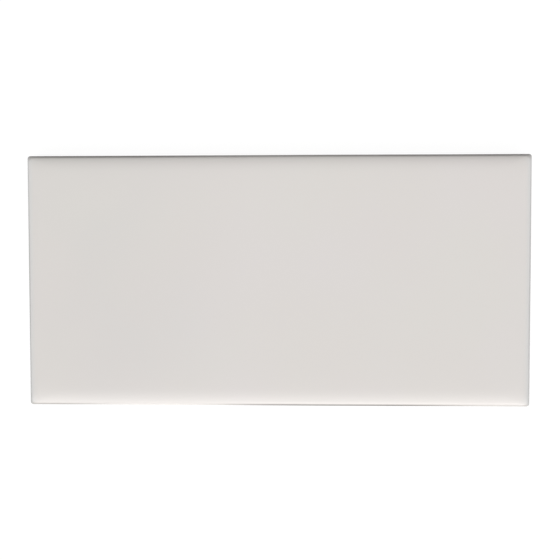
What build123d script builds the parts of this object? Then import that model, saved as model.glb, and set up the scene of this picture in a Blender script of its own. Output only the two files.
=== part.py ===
"""A pressed ceramic wall tile in the 2:1 format.

The face is glazed and nearly flat, and rolls down to its four sides in a soft cushion edge.
The back is bare fired clay with a grid of shallow pockets, which keys the tile to its adhesive.
The body was pressed and fired in one piece, so it is one solid.

Frame: the origin is the centre of the back's resting plane, +X runs along the length,
+Y along the width, and +Z points out of the glazed face. Sizes are in millimetres.
"""

import os
from math import cos, pi, sin

from build123d import *

# Body
length = 150.0
width = 75.0
thickness = 8.0
corner_radius = 0.9

# Cushion edge round the glazed face
cushion_width = 6.0
cushion_drop = 1.5
cushion_fullness = 3.0
corner_softness = 0.9
contour_bands = 12

# Relief bevel, which leads the sides in to the back
bevel_inset = 0.5
bevel_height = 2.4
back_corner_radius = 0.5
back_edge_radius = 0.3

# Key pockets in the back
pockets_long = 13
pockets_wide = 6
rim_width = 6.4
rib_width = 2.0
pocket_depth = 0.8
pocket_draft = 35.0


def cushion_contour(step):
    """Inset and height of the cushion's contour after so many bands, from 0 at the side.

    The section is a superellipse: steep where it leaves the side, and long and shallow
    where it runs out into the field, as a glaze does when it rounds over an edge.
    """
    angle = pi / 2 * step / contour_bands
    inset = cushion_width * (1 - cos(angle) ** (2 / cushion_fullness))
    height = thickness - cushion_drop + cushion_drop * sin(angle)
    return inset, height


def pocket_side(span, count):
    """Side of one pocket where so many share a span of the back with its two rims and the ribs."""
    return (span - 2 * rim_width - (count - 1) * rib_width) / count


with BuildPart() as tile:
    # Relief bevel
    with BuildSketch(Plane.XY):
        RectangleRounded(length - 2 * bevel_inset, width - 2 * bevel_inset, back_corner_radius)
    with BuildSketch(Plane.XY.offset(bevel_height)):
        RectangleRounded(length, width, corner_radius)
    loft()
    fillet(tile.faces().sort_by(Axis.Z)[0].edges(), back_edge_radius)

    # Plumb sides, which the joints between tiles are set out from
    with BuildSketch(Plane.XY.offset(bevel_height)):
        RectangleRounded(length, width, corner_radius)
    extrude(amount=thickness - cushion_drop - bevel_height)

    # Cushion, as a stack of contours whose corners grow rounder towards the field
    for step in range(contour_bands + 1):
        inset, height = cushion_contour(step)
        with BuildSketch(Plane.XY.offset(height)):
            RectangleRounded(
                length - 2 * inset,
                width - 2 * inset,
                corner_radius + corner_softness * inset,
            )
    loft(ruled=True)

    # Key pockets, square frustums as the straight-milled pads of the punch leave them
    pocket_length = pocket_side(length, pockets_long)
    pocket_width = pocket_side(width, pockets_wide)
    with BuildSketch(Plane.XY):
        with GridLocations(
            pocket_length + rib_width,
            pocket_width + rib_width,
            pockets_long,
            pockets_wide,
        ):
            Rectangle(pocket_length, pocket_width)
    extrude(amount=pocket_depth, taper=pocket_draft, mode=Mode.SUBTRACT)

tile.part.label = "tile"
os.makedirs("parts", exist_ok=True)
export_step(tile.part, "parts/tile.step")

print("size", tile.part.bounding_box().size, "volume", round(tile.part.volume, 1))
print("pocket", round(pocket_length, 3), "by", round(pocket_width, 3))
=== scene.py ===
# %% [markdown]
# # A glazed wall tile with cushion edges
#
# The real thing is one pressed slab of white clay, 150 by 75 by 8 mm. Its face is glazed, nearly flat,
# and rolls down to the sides in a soft edge. The sides and the keyed back are bare fired clay.
#
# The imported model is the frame: it fixes the size and the place. The look is built here as one closed
# mesh in its place, because glaze needs a smoother skin than the solid's bands, and a wavy lower edge.

# %% Load the frame
import math

import bpy
import numpy as np
from mathutils import Matrix, Vector, noise


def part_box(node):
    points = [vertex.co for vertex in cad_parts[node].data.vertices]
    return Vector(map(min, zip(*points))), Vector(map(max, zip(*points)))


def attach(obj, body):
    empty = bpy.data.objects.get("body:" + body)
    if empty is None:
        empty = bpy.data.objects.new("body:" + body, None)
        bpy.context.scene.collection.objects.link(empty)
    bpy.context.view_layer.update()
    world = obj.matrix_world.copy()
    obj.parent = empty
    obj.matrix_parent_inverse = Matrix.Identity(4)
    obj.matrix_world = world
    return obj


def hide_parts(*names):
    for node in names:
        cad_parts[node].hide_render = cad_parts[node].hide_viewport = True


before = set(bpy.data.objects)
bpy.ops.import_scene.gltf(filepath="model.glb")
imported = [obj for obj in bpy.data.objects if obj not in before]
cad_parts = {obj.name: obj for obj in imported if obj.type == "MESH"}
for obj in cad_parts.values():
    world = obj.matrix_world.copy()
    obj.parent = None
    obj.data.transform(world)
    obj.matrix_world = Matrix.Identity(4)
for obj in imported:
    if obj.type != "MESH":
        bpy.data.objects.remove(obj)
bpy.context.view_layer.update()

tile_low, tile_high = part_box("tile")
length, width, thickness = (tile_high[axis] - tile_low[axis] for axis in range(3))
mm = 0.001
print("tile", [round(side / mm, 3) for side in (length, width, thickness)], "mm")

# %% [markdown]
# ## The section of the cushion edge
#
# A dry-pressed tile gets its edge from the punch, and the glaze rounds it further as it melts. The
# section is a superellipse: plumb where it leaves the side, then long and shallow into the field.
# A bevel modifier gives a round of one radius, which looks machined, so a formula is used instead.

# %% Cushion section
cushion_width = 6.0 * mm
cushion_drop = 1.5 * mm
cushion_fullness = 3.0
cushion_rows = 16
side_top = thickness - cushion_drop


def cushion_height(inset):
    """Height of the glazed face at a distance in from the side."""
    run = np.clip(1 - inset / cushion_width, 0, 1)
    return side_top + cushion_drop * np.sqrt(1 - run ** cushion_fullness)


row_angles = np.linspace(0, math.pi / 2, cushion_rows)
cushion_insets = cushion_width * (1 - np.cos(row_angles) ** (2 / cushion_fullness))
print("cushion rows", len(cushion_insets), "first step in", round(cushion_insets[1] / mm, 3), "mm")

# %% [markdown]
# ## One grid for both faces
#
# The back has 13 by 6 shallow pockets with sloping walls, which hold the adhesive. The face and the back
# share one grid of lines, so they join at the sides quad to quad. The lines crowd together where the
# form turns, in the cushion and at the pocket walls, and spread out where it is flat.

# %% Grid lines
pockets_long, pockets_wide = 13, 6
rim_width = 6.4 * mm
rib_width = 2.0 * mm
pocket_depth = 0.8 * mm
pocket_slope = pocket_depth * math.tan(math.radians(35))
pocket_softness = 0.12 * mm
field_spacing = 1.5 * mm


def pocket_places(span, count):
    """Centres of the pockets along a span of the back, and half a pocket's side."""
    side = (span - 2 * rim_width - (count - 1) * rib_width) / count
    steps = np.arange(count) - (count - 1) / 2
    return steps * (side + rib_width), side / 2


def grid_lines(span, count):
    """Where the grid's lines cross a span: the cushion's rows, then lines that follow each pocket."""
    centres, half = pocket_places(span, count)
    foot = half - pocket_slope - pocket_softness
    wall = [foot, half - pocket_slope, half - pocket_slope / 2, half, half + pocket_softness]
    floor_lines = np.linspace(-foot, foot, math.ceil(2 * foot / field_spacing) + 1)[1:-1]
    around = np.concatenate([-np.array(wall), floor_lines, wall])
    rows = span / 2 - cushion_insets
    return np.sort(np.concatenate([-rows, (centres[:, None] + around).ravel(), rows]))


lines_x = grid_lines(length, pockets_long)
lines_y = grid_lines(width, pockets_wide)
print("grid of", len(lines_x), "by", len(lines_y), "lines")

# %% [markdown]
# ## Rounding the corners in plan
#
# Each ring of the grid is a contour of the face. At the rim its corner is tight, under a millimetre,
# and it grows rounder towards the field, as melted glaze pulls a corner round. A square ring is bent
# on to its contour: a point near the corner slides on to the arc at the matching angle. The back was
# never glazed, so its contours turn square again before they reach the pockets.

# %% Corner rounding
corner_radius = 0.9 * mm
corner_softness = 0.9
corner_fade = 14.0 * mm


def smooth(value):
    """Soft step from 0 to 1."""
    value = np.clip(value, 0, 1)
    return value * value * (3 - 2 * value)


def contour_radius(inset, growth_end, fade):
    """Corner radius of the contour at an inset. It grows up to one inset, and fades to square from there."""
    grown = corner_radius + corner_softness * np.minimum(inset, growth_end)
    return grown * (1 - smooth((inset - growth_end) / fade))


def bend_to_contours(x, y, growth_end, fade, draw=0.0):
    """Bend square rings on to the contours, and draw the outer rings in by a distance that fades inward.

    Gives the new x and y, each point's inset, and the outward direction in plan.
    """
    from_end = length / 2 - np.abs(x)
    from_side = width / 2 - np.abs(y)
    inset = np.minimum(from_end, from_side)
    radius = contour_radius(inset, growth_end, fade)
    along = np.abs(from_end - from_side)
    on_arc = along < radius
    turn = math.pi / 4 * (1 - np.divide(along, radius, out=np.ones_like(x), where=on_arc))
    long_side = from_side <= from_end
    out_x = np.where(long_side, np.sin(turn), np.cos(turn))
    out_y = np.where(long_side, np.cos(turn), np.sin(turn))
    drawn = draw * (1 - smooth(inset / fade))
    straight_x = np.abs(x) - drawn * out_x
    straight_y = np.abs(y) - drawn * out_y
    arc_x = length / 2 - inset - radius + (radius - drawn) * out_x
    arc_y = width / 2 - inset - radius + (radius - drawn) * out_y
    new_x = np.copysign(np.where(on_arc, arc_x, straight_x), x)
    new_y = np.copysign(np.where(on_arc, arc_y, straight_y), y)
    return new_x, new_y, inset, np.copysign(out_x, x), np.copysign(out_y, y)


square_x, square_y = np.meshgrid(lines_x, lines_y, indexing="ij")
bent = bend_to_contours(square_x, square_y, cushion_width, corner_fade)
plan_x, plan_y, plan_inset, out_x, out_y = bent
inner_radius = contour_radius(cushion_width, cushion_width, corner_fade)
print("corner radius from", round(corner_radius / mm, 2), "to", round(inner_radius / mm, 2), "mm")

# %% [markdown]
# ## What the kiln does to a true form
#
# Fired clay is never quite straight. The sides wander by a few hundredths of a millimetre, and the glaze
# settles in slow waves, which make its reflections swim. Both are smooth noise read at each point's own
# place, so every run gives the same tile. The sides wander only inward, so the size still holds.

# %% Wander and waves
side_wander = 0.07 * mm
wander_length = 34.0 * mm
wave_height = 0.010 * mm
wave_length = 13.0 * mm
field_crown = 0.05 * mm
crown_width = 16.0 * mm
fine_share, fine_scale = 0.4, 2.6


def cloud(x, y, scale, layer):
    """Smooth noise from about -1 to 1 at each point. The layer picks one of many unrelated clouds."""
    places = zip(np.ravel(x) / scale, np.ravel(y) / scale)
    values = [noise.noise(Vector((place_x, place_y, 7.31 * layer))) for place_x, place_y in places]
    return np.reshape(values, np.shape(x))


def wander(x, y):
    """How far the sides lie inside the true outline."""
    return side_wander * (0.5 + 0.5 * cloud(x, y, wander_length, layer=1))


def face_height(x, y, inset):
    """Height of the glazed face: the cushion, less a faint crown and the waves of the glaze."""
    crown = field_crown * (1 - smooth(inset / crown_width)) ** 2
    waves = cloud(x, y, wave_length, layer=2)
    waves += fine_share * cloud(x, y, wave_length / fine_scale, layer=3)
    below = wave_height * (waves + 1 + fine_share) * smooth(inset / cushion_width)
    return cushion_height(inset) - crown - below


inward = wander(plan_x, plan_y) * (1 - smooth(plan_inset / cushion_width))
face_x = plan_x - out_x * inward
face_y = plan_y - out_y * inward
face_z = face_height(face_x, face_y, plan_inset)
print("face height", round(face_z.min() / mm, 3), "to", round(face_z.max() / mm, 3), "mm")

# %% [markdown]
# ## The sides
#
# Below the cushion the side is plumb, and a relief bevel then leads in to the back. Glaze runs a little
# way down the side and stops at a wavy line with a rounded lip. Below that the clay is bare. The rows
# around the tile follow that line, so the lip stays crisp with few points. Each row also has a tone from
# 0 to 1, which says how much of an edge it is: high at the lip, the bevel and the foot, low between. On
# the glaze the tone is painted shade, a grey line at the lip and a faint grey down the glazed side. On the
# bare clay it lightens the edges as wear.

# %% Side rows
bevel_inset = 0.5 * mm
bevel_height = 2.4 * mm
back_edge_radius = 0.3 * mm
glaze_line = 5.3 * mm
glaze_line_wave = 0.35 * mm
glaze_wave_length, glaze_ripple_length = 9 * mm, 2.7 * mm
glaze_thickness = 0.07 * mm
# On the glaze these tones paint shade, a grey line at the lip and a faint grey down the side; on the bare
# clay they lighten the edges.
glazed_side_shade, lip_shade_and_wear, foot_tone = 0.22, 0.7, 1.0
bevel_edge_tone, bevel_edge_fall = 0.9, 8
bevel_tone, bevel_fall = 0.7, 6
bevel_foot = bevel_inset * (1 - back_edge_radius / bevel_height)
back_draw = bevel_foot + back_edge_radius

last_x, last_y = len(lines_x) - 1, len(lines_y) - 1
outline = [(i, 0) for i in range(last_x)] + [(last_x, j) for j in range(last_y)]
outline += [(i, last_y) for i in range(last_x, 0, -1)] + [(0, j) for j in range(last_y, 0, -1)]
rim = tuple(np.array(outline).T)
rim_x, rim_y, rim_out_x, rim_out_y = plan_x[rim], plan_y[rim], out_x[rim], out_y[rim]
line_wave = cloud(rim_x, rim_y, glaze_wave_length, layer=4)
line_wave += fine_share * cloud(rim_x, rim_y, glaze_ripple_length, layer=5)
line_height = glaze_line + glaze_line_wave * line_wave

side_rows = []


def add_side_row(height, inset, tone):
    """Add a row around the side. Its height is a number, or a value for each point of the outline."""
    drawn = wander(rim_x, rim_y) + inset
    points = [rim_x - rim_out_x * drawn, rim_y - rim_out_y * drawn, height + 0 * rim_x]
    side_rows.append((np.stack(points, axis=1), tone))


for share in (0.3, 0.6, 0.85, 1.0):
    add_side_row(side_top + (line_height - side_top) * share, 0, glazed_side_shade)
for degrees in (30, 60, 90):
    turn = math.radians(degrees)
    height = line_height - glaze_thickness * math.sin(turn)
    add_side_row(height, glaze_thickness * (1 - math.cos(turn)), lip_shade_and_wear)
glazed_rows = len(side_rows)
for share in (0.03, 0.15, 0.35, 0.6, 0.85, 1.0):
    bare = line_height - glaze_thickness - bevel_height
    height = line_height - glaze_thickness - bare * share
    add_side_row(height, glaze_thickness, bevel_edge_tone * share ** bevel_edge_fall)
for share in (0.04, 0.25, 0.5, 0.75, 1.0):
    height = bevel_height + (back_edge_radius - bevel_height) * share
    inset = glaze_thickness + (bevel_foot - glaze_thickness) * share
    add_side_row(height, inset, bevel_tone * (1 - share) ** bevel_fall)
for degrees in (30, 60):
    turn = math.radians(degrees)
    height = back_edge_radius * (1 - math.sin(turn))
    add_side_row(height, bevel_foot + back_edge_radius * (1 - math.cos(turn)), foot_tone)
print("side rows", len(side_rows), "with", len(rim_x), "points each")

# %% [markdown]
# ## The keyed back
#
# The back is the same grid, drawn in to meet the foot of the sides. Each pocket's depth is the product
# of a soft ramp along the length and one across the width, which rounds its corners without more lines.
# A boolean of 78 blocks would cut the same pockets, but leaves long thin faces that shade badly.

# %% Back height
back_fade = 5.0 * mm


def pocket_ramp(position, span, count):
    """0 on the ribs and rim, 1 on a pocket's floor, and a soft slope between."""
    centres, half = pocket_places(span, count)
    from_centre = np.abs(position[..., None] - centres).min(axis=-1)
    return smooth((half + pocket_softness - from_centre) / (pocket_slope + 2 * pocket_softness))


back_x, back_y, back_inset, back_out_x, back_out_y = bend_to_contours(
    square_x, square_y, 0.0, back_fade, back_draw
)
inward = wander(plan_x, plan_y) * (1 - smooth(back_inset / back_fade))
back_x, back_y = back_x - back_out_x * inward, back_y - back_out_y * inward
ramp = pocket_ramp(square_x, length, pockets_long) * pocket_ramp(square_y, width, pockets_wide)
back_z = pocket_depth * ramp
print("pocket depth", round(back_z.max() / mm, 3), "mm over", int((ramp > 0.99).sum()), "floor points")

# %% [markdown]
# ## One closed mesh
#
# The points of the face, the rows and the back go in one list, and faces refer to them by number. Every
# face is a quad, its corners run anticlockwise seen from outside, and no edge is left open.

# %% Join the faces
def grid_points(x, y, z):
    """The points of a grid as a list of rows of three."""
    return np.stack([x.ravel(), y.ravel(), z.ravel()], axis=1)


grid_size = square_x.size
numbers = np.arange(grid_size).reshape(square_x.shape)
quads = np.stack([numbers[:-1, :-1], numbers[1:, :-1], numbers[1:, 1:], numbers[:-1, 1:]], axis=-1)
quads = quads.reshape(-1, 4)
rings = [numbers[rim]]
rings += [grid_size + row * len(rim_x) + np.arange(len(rim_x)) for row in range(len(side_rows))]
back_start = grid_size + len(side_rows) * len(rim_x)
rings += [back_start + numbers[rim]]

faces, materials = [quads], [np.zeros(len(quads), dtype=int)]
for row, (upper, lower) in enumerate(zip(rings[:-1], rings[1:])):
    faces.append(np.stack([upper, lower, np.roll(lower, -1), np.roll(upper, -1)], axis=1))
    materials.append(np.full(len(upper), 0 if row < glazed_rows else 1))
faces.append(back_start + quads[:, ::-1])
materials.append(np.ones(len(quads), dtype=int))

points = [grid_points(face_x, face_y, face_z)]
points += [row for row, tone in side_rows]
points += [grid_points(back_x, back_y, back_z)]
print("points", grid_size, "in the face,", back_start - grid_size, "in the rows,", grid_size, "in the back")

# %% [markdown]
# ## Where the edges are
#
# Most of the grey round the rim is painted shade: a warm grey hairline where the face turns down steeply,
# reaching further in along the upper side, which faces away from the bright wall. Glaze thins there
# too and greys a little. The hairline breaks off in places, most of all along the lower side, and it is
# weaker at the two ends. It could be painted by hand. Here two tones are kept for the materials to read
# at each point: "arris" is 1 at a sharp edge, and "end" is 1 at the rim of the two ends. A few hundred
# clouds were tried for where the hairline breaks, and the one that breaks it where the real tile does was
# kept.

# %% Edge tones
# Painted shade along the rim: the hairline's width, and how far it fades in at the sides and on the upper
# side.
rim_line = 0.32 * mm
rim_fade, upper_fade = 0.36 * mm, 0.64 * mm
break_length, break_cloud = 44 * mm, 343
end_relief, end_lean = 0.50, 0.08
break_relief, break_lean = 0.65, 0.35
end_fade = 2.2 * mm
side_end_share = 0.25

side_fade = rim_fade + (upper_fade - rim_fade) * np.clip(out_y, 0, 1)
shade_breaks = 1 - smooth(0.5 + cloud(plan_x, plan_y, break_length, layer=break_cloud))
painted_rim_shade = 1 - smooth((plan_inset - rim_line) / side_fade)
painted_rim_shade *= 1 - (end_relief + end_lean * out_x) * np.abs(out_x)
painted_rim_shade *= 1 - (break_relief - break_lean * out_y) * shade_breaks
pocket_tone = 4 * ramp * (1 - ramp)
tones = [painted_rim_shade.ravel()]
tones += [np.full(len(rim_x), tone) for row, tone in side_rows]
tones += [pocket_tone.ravel()]

# At the rims of the two ends the glaze gets a cooler painted shade, and the bare sides a slightly darker
# tone.
end_tones = [((1 - smooth(plan_inset / end_fade)) * out_x ** 2).ravel()]
end_tones += [side_end_share * rim_out_x ** 2] * len(side_rows) + [np.zeros(grid_size)]
print("rim tone", round(painted_rim_shade.max(), 2), "at most, pocket tone", round(pocket_tone.max(), 2))

# %% Build the mesh
mesh = bpy.data.meshes.new("glazed_tile")
mesh.from_pydata(np.concatenate(points).tolist(), [], np.concatenate(faces).tolist())
mesh.polygons.foreach_set("material_index", np.concatenate(materials))
mesh.polygons.foreach_set("use_smooth", np.ones(len(mesh.polygons), dtype=bool))
mesh.attributes.new("arris", "FLOAT", "POINT").data.foreach_set("value", np.concatenate(tones))
mesh.attributes.new("end", "FLOAT", "POINT").data.foreach_set("value", np.concatenate(end_tones))
mesh.update()
tile = bpy.data.objects.new("glazed_tile", mesh)
bpy.context.scene.collection.objects.link(tile)
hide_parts("tile")
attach(tile, "root")
print("quads", len(mesh.polygons), "points", len(mesh.vertices), "valid", not mesh.validate())

# %% [markdown]
# ## Shared effects
#
# Glaze and bare clay come out of one firing, so they share its marks: slow clouds of colour and a fine
# grain. They also share a change of tone at the edges, which is painted shade on the glaze and rubbed
# wear on the bare clay. Each effect is a node group, built once, and each material places it with its
# own values.

# %% Node helpers
def new_group(name, inputs, outputs):
    """An empty shader group with named sockets. Gives the group, its input node and its output node."""
    group = bpy.data.node_groups.new(name, "ShaderNodeTree")
    for socket_name, kind, value in inputs:
        socket = group.interface.new_socket(socket_name, in_out="INPUT", socket_type=kind)
        if value is not None:
            socket.default_value = value
    for socket_name, kind in outputs:
        group.interface.new_socket(socket_name, in_out="OUTPUT", socket_type=kind)
    return group, group.nodes.new("NodeGroupInput"), group.nodes.new("NodeGroupOutput")


def add_node(tree, kind, values=None, **settings):
    """Add a node with its settings, and its input values by name."""
    node = tree.nodes.new(kind)
    for key, value in settings.items():
        setattr(node, key, value)
    for socket_name, value in (values or {}).items():
        node.inputs[socket_name].default_value = value
    return node


def join(tree, *pairs):
    """Link pairs of sockets, output first."""
    for start, end in pairs:
        tree.links.new(start, end)


# %% [markdown]
# ### Kiln mottle
#
# The colour drifts a little over a few centimetres: one end of this tile is a shade darker than the
# other. On top of that, two wide noises push the colour towards one tint or the other, so slightly that
# it shows only side by side.

# %% Kiln mottle group
FLOAT, COLOR, VECTOR = "NodeSocketFloat", "NodeSocketColor", "NodeSocketVector"
drift_start, drift_end = -5 * mm, -55 * mm


def make_kiln_mottle():
    """Drift from a base colour to another at the tile's -X end, with clouds of two tints."""
    group, start, end = new_group(
        "Kiln mottle",
        [
            ("Vector", VECTOR, None),
            ("Base", COLOR, None),
            ("Far End", COLOR, None),
            ("First Tint", COLOR, None),
            ("Second Tint", COLOR, None),
            ("Size", FLOAT, 30.0),
            ("Strength", FLOAT, 0.5),
        ],
        [("Color", COLOR), ("Cloud", FLOAT)],
    )
    split = add_node(group, "ShaderNodeSeparateXYZ")
    to_end = add_node(group, "ShaderNodeMapRange", interpolation_type="SMOOTHSTEP")
    to_end.inputs["From Min"].default_value = drift_start
    to_end.inputs["From Max"].default_value = drift_end
    drift = add_node(group, "ShaderNodeMix", data_type="RGBA")
    join(
        group,
        (start.outputs["Vector"], split.inputs[0]),
        (split.outputs["X"], to_end.inputs["Value"]),
        (to_end.outputs["Result"], drift.inputs["Factor"]),
        (start.outputs["Base"], drift.inputs["A"]),
        (start.outputs["Far End"], drift.inputs["B"]),
    )
    colour = drift.outputs["Result"]
    for shift, tint in (((0, 0, 0), "First Tint"), ((0.31, 0.17, 0.05), "Second Tint")):
        moved = add_node(group, "ShaderNodeVectorMath", operation="ADD")
        moved.inputs[1].default_value = shift
        clouds = add_node(group, "ShaderNodeTexNoise", {"Detail": 2.0, "Roughness": 0.45})
        spread = add_node(group, "ShaderNodeMapRange", {"From Min": 0.35, "From Max": 0.65})
        amount = add_node(group, "ShaderNodeMath", operation="MULTIPLY")
        mix = add_node(group, "ShaderNodeMix", data_type="RGBA")
        join(
            group,
            (start.outputs["Vector"], moved.inputs[0]),
            (moved.outputs[0], clouds.inputs["Vector"]),
            (start.outputs["Size"], clouds.inputs["Scale"]),
            (clouds.outputs["Fac"], spread.inputs["Value"]),
            (spread.outputs["Result"], amount.inputs[0]),
            (start.outputs["Strength"], amount.inputs[1]),
            (amount.outputs[0], mix.inputs["Factor"]),
            (colour, mix.inputs["A"]),
            (start.outputs[tint], mix.inputs["B"]),
        )
        colour = mix.outputs["Result"]
    join(group, (colour, end.inputs["Color"]), (spread.outputs["Result"], end.inputs["Cloud"]))
    return group


kiln_mottle = make_kiln_mottle()
print("group", kiln_mottle.name, "with", len(kiln_mottle.nodes), "nodes")

# %% [markdown]
# ### Fired grain
#
# Bare clay shows the grains it was pressed from, and glaze shows a trace of them as a faint orange
# peel. The group gives a height for a bump node and a mask of scattered dark pits.

# %% Fired grain group
def make_fired_grain():
    """Grain height, and a mask of small pits."""
    group, start, end = new_group(
        "Fired grain",
        [
            ("Vector", VECTOR, None),
            ("Grain Size", FLOAT, 3000.0),
            ("Pit Size", FLOAT, 900.0),
            ("Pit Share", FLOAT, 0.1),
        ],
        [("Height", FLOAT), ("Pits", FLOAT)],
    )
    grain = add_node(group, "ShaderNodeTexNoise", {"Detail": 4.0, "Roughness": 0.6})
    pits = add_node(group, "ShaderNodeTexVoronoi", {"Randomness": 1.0}, feature="F1")
    pit_mask = add_node(group, "ShaderNodeMapRange", {"To Min": 1.0, "To Max": 0.0})
    chosen = add_node(group, "ShaderNodeSeparateColor")
    keep = add_node(group, "ShaderNodeMath", operation="LESS_THAN")
    kept = add_node(group, "ShaderNodeMath", operation="MULTIPLY")
    pit_mask.inputs["From Min"].default_value = 0.10
    pit_mask.inputs["From Max"].default_value = 0.34
    sunk = add_node(group, "ShaderNodeMath", operation="MULTIPLY_ADD")
    sunk.inputs[1].default_value = -0.8
    join(
        group,
        (start.outputs["Vector"], grain.inputs["Vector"]),
        (start.outputs["Grain Size"], grain.inputs["Scale"]),
        (start.outputs["Vector"], pits.inputs["Vector"]),
        (start.outputs["Pit Size"], pits.inputs["Scale"]),
        (pits.outputs["Distance"], pit_mask.inputs["Value"]),
        (pits.outputs["Color"], chosen.inputs[0]),
        (chosen.outputs[0], keep.inputs[0]),
        (start.outputs["Pit Share"], keep.inputs[1]),
        (pit_mask.outputs["Result"], kept.inputs[0]),
        (keep.outputs[0], kept.inputs[1]),
        (kept.outputs[0], sunk.inputs[0]),
        (grain.outputs["Fac"], sunk.inputs[2]),
        (sunk.outputs[0], end.inputs["Height"]),
        (kept.outputs[0], end.inputs["Pits"]),
    )
    return group


fired_grain = make_fired_grain()
print("group", fired_grain.name, "with", len(fired_grain.nodes), "nodes")

# %% [markdown]
# ### Edge shade and wear
#
# An edge never keeps the tone of the open surface. On the glaze this group paints shade: a warm grey
# hairline round the rim, and a cooler grey at the rims of the two ends. Bare arrises are rubbed a shade
# lighter. The mesh's two tones say where, and a noise makes the edge uneven: "Least" is how much of it
# stays where the noise is lowest.

# %% Edge shade and wear group
def make_edge_shade_and_wear():
    """Shift a colour towards an end colour at the ends, then unevenly towards an edge colour at an arris."""
    group, start, end = new_group(
        "Edge shade and wear",
        [
            ("Vector", VECTOR, None),
            ("Color", COLOR, None),
            ("End Color", COLOR, None),
            ("End Strength", FLOAT, 0.5),
            ("Edge Color", COLOR, None),
            ("Strength", FLOAT, 0.5),
            ("Break Size", FLOAT, 400.0),
            ("Least", FLOAT, 0.5),
        ],
        [("Color", COLOR), ("Edge", FLOAT)],
    )
    ends = add_node(group, "ShaderNodeAttribute", attribute_name="end")
    end_amount = add_node(group, "ShaderNodeMath", operation="MULTIPLY")
    end_mix = add_node(group, "ShaderNodeMix", data_type="RGBA")
    arris = add_node(group, "ShaderNodeAttribute", attribute_name="arris")
    breaks = add_node(group, "ShaderNodeTexNoise", {"Detail": 3.0})
    uneven = add_node(group, "ShaderNodeMapRange", {"From Min": 0.3, "From Max": 0.7})
    edge = add_node(group, "ShaderNodeMath", operation="MULTIPLY")
    amount = add_node(group, "ShaderNodeMath", operation="MULTIPLY")
    mix = add_node(group, "ShaderNodeMix", data_type="RGBA")
    join(
        group,
        (start.outputs["Vector"], breaks.inputs["Vector"]),
        (start.outputs["Break Size"], breaks.inputs["Scale"]),
        (breaks.outputs["Fac"], uneven.inputs["Value"]),
        (start.outputs["Least"], uneven.inputs["To Min"]),
        (uneven.outputs["Result"], edge.inputs[0]),
        (arris.outputs["Fac"], edge.inputs[1]),
        (edge.outputs[0], amount.inputs[0]),
        (start.outputs["Strength"], amount.inputs[1]),
        (amount.outputs[0], mix.inputs["Factor"]),
        (ends.outputs["Fac"], end_amount.inputs[0]),
        (start.outputs["End Strength"], end_amount.inputs[1]),
        (end_amount.outputs[0], end_mix.inputs["Factor"]),
        (start.outputs["Color"], end_mix.inputs["A"]),
        (start.outputs["End Color"], end_mix.inputs["B"]),
        (end_mix.outputs["Result"], mix.inputs["A"]),
        (start.outputs["Edge Color"], mix.inputs["B"]),
        (mix.outputs["Result"], end.inputs["Color"]),
        (edge.outputs[0], end.inputs["Edge"]),
    )
    return group


edge_shade_and_wear = make_edge_shade_and_wear()
print("group", edge_shade_and_wear.name, "with", len(edge_shade_and_wear.nodes), "nodes")

# %% [markdown]
# ## The two finishes
#
# A Principled shader with low roughness is a good glaze: a coloured body under a clear gloss. The bare
# clay is the same shader, rough and warm. Both read their place on the object, so nothing is unwrapped.

# %% Materials
def new_material(name):
    """A material with a Principled shader, and the object's own coordinates to drive it."""
    material = bpy.data.materials.new(name)
    material.use_nodes = True
    tree = material.node_tree
    shader = tree.nodes["Principled BSDF"]
    place = add_node(tree, "ShaderNodeTexCoord").outputs["Object"]
    return material, tree, shader, place


def place_group(tree, group, place, values):
    """Put a shared effect in a material, fed with the object's coordinates."""
    node = add_node(tree, "ShaderNodeGroup", node_tree=group)
    for socket_name, value in values.items():
        node.inputs[socket_name].default_value = value
    join(tree, (place, node.inputs["Vector"]))
    return node


def finish_fired(tree, shader, mottle, edge, grain, pit_colour, bump_values, rough_range):
    """Wire the shared effects of a fired surface to its shader."""
    pit_mix = add_node(tree, "ShaderNodeMix", {"B": pit_colour}, data_type="RGBA")
    rough = add_node(tree, "ShaderNodeMapRange", {"To Min": rough_range[0], "To Max": rough_range[1]})
    bump = add_node(tree, "ShaderNodeBump", bump_values)
    join(
        tree,
        (mottle.outputs["Color"], edge.inputs["Color"]),
        (edge.outputs["Color"], pit_mix.inputs["A"]),
        (grain.outputs["Pits"], pit_mix.inputs["Factor"]),
        (pit_mix.outputs["Result"], shader.inputs["Base Color"]),
        (mottle.outputs["Cloud"], rough.inputs["Value"]),
        (rough.outputs["Result"], shader.inputs["Roughness"]),
        (grain.outputs["Height"], bump.inputs["Height"]),
        (bump.outputs["Normal"], shader.inputs["Normal"]),
    )


def make_glaze():
    """Gloss off-white glaze: a trace of orange peel, slow clouds, no pits, and painted grey shade at the
    rim.
    """
    material, tree, shader, place = new_material("Off-white gloss glaze")
    mottle = place_group(tree, kiln_mottle, place, {
        "Base": (0.709, 0.677, 0.663, 1),
        "Far End": (0.669, 0.649, 0.632, 1),
        "First Tint": (0.702, 0.681, 0.643, 1),
        "Second Tint": (0.702, 0.663, 0.643, 1),
        "Size": 28.0,
        "Strength": 0.5,
    })
    # Edge Color is painted shade along the rim and at the glaze lip, End Color a cooler painted shade at the
    # rims of the two ends.
    edge = place_group(tree, edge_shade_and_wear, place, {
        "End Color": (0.650, 0.652, 0.652, 1),
        "End Strength": 0.9,
        "Edge Color": (0.188, 0.175, 0.163, 1),
        "Strength": 1.0,
        "Break Size": 32.0,
        "Least": 0.85,
    })
    grain = place_group(tree, fired_grain, place, {
        "Grain Size": 420.0,
        "Pit Size": 260.0,
        "Pit Share": 0.0,
    })
    bump_values = {"Strength": 0.25, "Distance": 0.01 * mm}
    finish_fired(tree, shader, mottle, edge, grain, (0.5, 0.46, 0.42, 1), bump_values, (0.08, 0.12))
    return material


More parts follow.
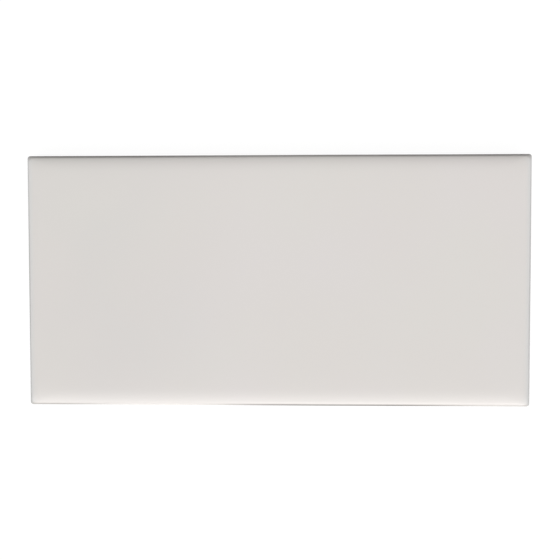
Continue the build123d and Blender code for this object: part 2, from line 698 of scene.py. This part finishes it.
def make_biscuit():
    """Bare fired clay: ivory, rough and grainy, with fine pits and lighter arrises."""
    material, tree, shader, place = new_material("Bare fired clay")
    mottle = place_group(tree, kiln_mottle, place, {
        "Base": (0.665, 0.610, 0.525, 1),
        "Far End": (0.650, 0.598, 0.518, 1),
        "First Tint": (0.625, 0.580, 0.505, 1),
        "Second Tint": (0.690, 0.625, 0.525, 1),
        "Size": 60.0,
        "Strength": 0.9,
    })
    edge = place_group(tree, edge_shade_and_wear, place, {
        "End Color": (0.60, 0.57, 0.50, 1),
        "End Strength": 0.2,
        "Edge Color": (0.74, 0.70, 0.63, 1),
        "Strength": 0.6,
        "Break Size": 600.0,
    })
    grain = place_group(tree, fired_grain, place, {
        "Grain Size": 3200.0,
        "Pit Size": 1400.0,
        "Pit Share": 0.16,
    })
    bump_values = {"Strength": 0.6, "Distance": 0.06 * mm}
    finish_fired(tree, shader, mottle, edge, grain, (0.40, 0.34, 0.27, 1), bump_values, (0.82, 0.95))
    return material


mesh.materials.append(make_glaze())
mesh.materials.append(make_biscuit())
print("finishes", [material.name for material in mesh.materials])

# %% [markdown]
# ## The floor
#
# The tile lies on a pale floor that shows as white. A plain white floor under soft light renders as
# grey, so most of the white is light that only the camera sees, and the gloss that mirrors it. The rest
# is a real diffuse floor, which keeps the tile's shadow and throws light back up at its sides.

# %% Floor
floor_size = 6.0
floor_drop = 0.03 * mm
floor_glow, floor_film, floor_white = 0.94, 0.10, 0.8


def showing_rays(tree):
    """1 for the rays that show the white: the camera's, and those that gloss or glass sends on."""
    rays = add_node(tree, "ShaderNodeLightPath")
    gloss = add_node(tree, "ShaderNodeMath", operation="MAXIMUM")
    glass = add_node(tree, "ShaderNodeMath", operation="MAXIMUM")
    join(
        tree,
        (rays.outputs["Is Camera Ray"], gloss.inputs[0]),
        (rays.outputs["Is Glossy Ray"], gloss.inputs[1]),
        (gloss.outputs[0], glass.inputs[0]),
        (rays.outputs["Is Transmission Ray"], glass.inputs[1]),
    )
    return glass.outputs[0]


def make_floor_paper():
    """White paper: emission with a thin diffuse layer to look at, a diffuse floor for the light."""
    material = bpy.data.materials.new("Floor paper")
    material.use_nodes = True
    tree = material.node_tree
    tree.nodes.remove(tree.nodes["Principled BSDF"])
    glow = add_node(tree, "ShaderNodeEmission", {"Color": (1, 1, 1, 1), "Strength": floor_glow})
    thin = add_node(tree, "ShaderNodeBsdfDiffuse", {"Color": (floor_film, floor_film, floor_film, 1)})
    shown = add_node(tree, "ShaderNodeAddShader")
    paper = add_node(tree, "ShaderNodeBsdfDiffuse", {"Color": (floor_white, floor_white, floor_white, 1)})
    choose = add_node(tree, "ShaderNodeMixShader")
    join(
        tree,
        (showing_rays(tree), choose.inputs["Fac"]),
        (glow.outputs[0], shown.inputs[0]),
        (thin.outputs[0], shown.inputs[1]),
        (paper.outputs[0], choose.inputs[1]),
        (shown.outputs[0], choose.inputs[2]),
        (choose.outputs[0], tree.nodes["Material Output"].inputs["Surface"]),
    )
    return material


bpy.ops.mesh.primitive_plane_add(size=floor_size, location=(0, 0, -floor_drop))
floor = bpy.context.object
floor.name = "floor"
floor.data.materials.append(make_floor_paper())
print("floor", floor_size, "m across")

# %% [markdown]
# ## Light
#
# The face is bright along its lower edge and dark along its upper one, with a slow change between, so
# the light is a wide bright wall below the frame and a dim room above it. The world is that room. Its
# strength follows a ramp along Y and falls off with height, down to a low band that is even all round.
# Its colour cools a little towards the two ends. The camera sees plain white in its place, and so does
# gloss, except that the upper part of the bright wall is brighter than white there.

# %% Lights
room_strength = 2.87
room_stops = [
    (0.0, 0.04), (0.30, 0.04), (0.38, 0.15), (0.45, 0.29), (0.57, 0.34),
    (0.64, 0.63), (0.74, 0.72), (0.86, 0.68), (1.0, 0.78),
]
horizon_share = 0.5
low_band, low_band_top = 0.37, 0.3
full_height = 0.6
cool_from, cool_to = 0.5, 0.95
warm_light = (1.0, 0.990, 0.975, 1)
cool_light = (0.93, 0.98, 1.03, 1)


def make_room():
    """A dim room with one bright wall. The camera sees white instead, and gloss sees white and that wall."""
    world = bpy.data.worlds.new("soft studio")
    world.use_nodes = True
    tree = world.node_tree
    room = tree.nodes["Background"]
    place = add_node(tree, "ShaderNodeTexCoord")
    split = add_node(tree, "ShaderNodeSeparateXYZ")
    along = add_node(tree, "ShaderNodeMapRange", {"From Min": 1.0, "From Max": -1.0})
    wall = add_node(tree, "ShaderNodeValToRGB")
    wall.color_ramp.interpolation = "B_SPLINE"
    for number, (stop, share) in enumerate(room_stops):
        known = number < 2
        element = wall.color_ramp.elements[number] if known else wall.color_ramp.elements.new(stop)
        element.position = stop
        element.color = (share, share, share, 1)
    height = add_node(tree, "ShaderNodeMapRange", interpolation_type="SMOOTHSTEP")
    height.inputs["From Max"].default_value = full_height
    height.inputs["To Min"].default_value = horizon_share * room_strength
    height.inputs["To Max"].default_value = room_strength
    band = add_node(tree, "ShaderNodeMapRange", interpolation_type="SMOOTHSTEP")
    band.inputs["From Max"].default_value = low_band_top
    band.inputs["To Min"].default_value = low_band
    band.inputs["To Max"].default_value = 0.0
    power = add_node(tree, "ShaderNodeMath", operation="MULTIPLY_ADD")
    sideways = add_node(tree, "ShaderNodeMath", operation="ABSOLUTE")
    to_end = add_node(tree, "ShaderNodeMapRange", {"From Min": cool_from, "From Max": cool_to})
    tint = add_node(tree, "ShaderNodeMix", {"A": warm_light, "B": cool_light}, data_type="RGBA")
    rays = add_node(tree, "ShaderNodeLightPath")
    mirrored = add_node(tree, "ShaderNodeMath", operation="SUBTRACT")
    mirrored.inputs[0].default_value = 1.0
    high_wall = add_node(tree, "ShaderNodeMapRange", interpolation_type="SMOOTHSTEP")
    high_wall.inputs["From Min"].default_value = low_band_top
    high_wall.inputs["From Max"].default_value = full_height
    wall_power = add_node(tree, "ShaderNodeMath", operation="MULTIPLY")
    glow = add_node(tree, "ShaderNodeMath", operation="MAXIMUM")
    glow.inputs[1].default_value = 1.0
    white = add_node(tree, "ShaderNodeBackground", {"Color": (1, 1, 1, 1)})
    choose = add_node(tree, "ShaderNodeMixShader")
    join(
        tree,
        (place.outputs["Generated"], split.inputs[0]),
        (split.outputs["Y"], along.inputs["Value"]),
        (along.outputs["Result"], wall.inputs["Fac"]),
        (split.outputs["Z"], height.inputs["Value"]),
        (wall.outputs["Color"], power.inputs[0]),
        (height.outputs["Result"], power.inputs[1]),
        (split.outputs["Z"], band.inputs["Value"]),
        (band.outputs["Result"], power.inputs[2]),
        (split.outputs["X"], sideways.inputs[0]),
        (sideways.outputs[0], to_end.inputs["Value"]),
        (to_end.outputs["Result"], tint.inputs["Factor"]),
        (tint.outputs["Result"], room.inputs["Color"]),
        (power.outputs[0], room.inputs["Strength"]),
        (rays.outputs["Is Camera Ray"], mirrored.inputs[1]),
        (split.outputs["Z"], high_wall.inputs["Value"]),
        (mirrored.outputs[0], high_wall.inputs["To Max"]),
        (power.outputs[0], wall_power.inputs[0]),
        (high_wall.outputs["Result"], wall_power.inputs[1]),
        (wall_power.outputs[0], glow.inputs[0]),
        (glow.outputs[0], white.inputs["Strength"]),
        (showing_rays(tree), choose.inputs["Fac"]),
        (room.outputs[0], choose.inputs[1]),
        (white.outputs[0], choose.inputs[2]),
        (choose.outputs[0], tree.nodes["World Output"].inputs["Surface"]),
    )
    return world


bpy.context.scene.world = make_room()
print("room strength up to", room_strength, "and", horizon_share, "of that at the horizon")

# %% [markdown]
# Gloss needs something to mirror. Two small soft boxes, one low in front and one low behind on the left,
# are too weak to change the shading, but the glaze shows them as soft patches when it is seen aslant.

# %% Soft boxes
def add_softbox(name, position, size, watts, colour):
    """A rectangular area lamp that faces the tile's centre."""
    data = bpy.data.lights.new(name, "AREA")
    data.shape = "RECTANGLE"
    data.size, data.size_y = size
    data.energy = watts
    data.color = colour
    lamp = bpy.data.objects.new(name, data)
    lamp.location = position
    lamp.rotation_euler = (-Vector(position)).to_track_quat("-Z", "Y").to_euler()
    bpy.context.scene.collection.objects.link(lamp)
    print(name, watts, "W")
    return lamp


add_softbox("front softbox", (0.25, -1.0, 0.62), (0.7, 0.3), 0.9, (1.0, 0.985, 0.965))
add_softbox("back softbox", (-0.9, 0.9, 0.55), (0.5, 0.3), 0.35, (0.96, 0.985, 1.0))

# %% [markdown]
# ## The camera
#
# The tile is seen from almost straight above. Its upper edge measures a little longer than its lower
# one, and its right edge longer than its left, so the camera stands slightly above and to the right.
# A lens gives that taper by itself, with no shift.

# %% Camera
camera_place = Vector((0.0117, 0.0142, 0.300))
camera_target = Vector((0.00080, 0.00036, thickness))
camera_roll = math.radians(-0.09)
camera_lens = 63.26

camera_data = bpy.data.cameras.new("camera")
camera_data.lens = camera_lens
camera_data.clip_start = 0.01
camera = bpy.data.objects.new("camera", camera_data)
back = (camera_place - camera_target).normalized()
right = Vector((0, 1, 0)).cross(back).normalized()
turned = Matrix((right, back.cross(right), back)).transposed().to_4x4()
camera.matrix_world = Matrix.Translation(camera_place) @ turned @ Matrix.Rotation(camera_roll, 4, "Z")
bpy.context.scene.collection.objects.link(camera)
bpy.context.scene.camera = camera
bpy.context.scene.view_settings.view_transform = "Standard"
print("camera", round((camera_place - camera_target).length, 4), "m away, lens", camera_lens, "mm")
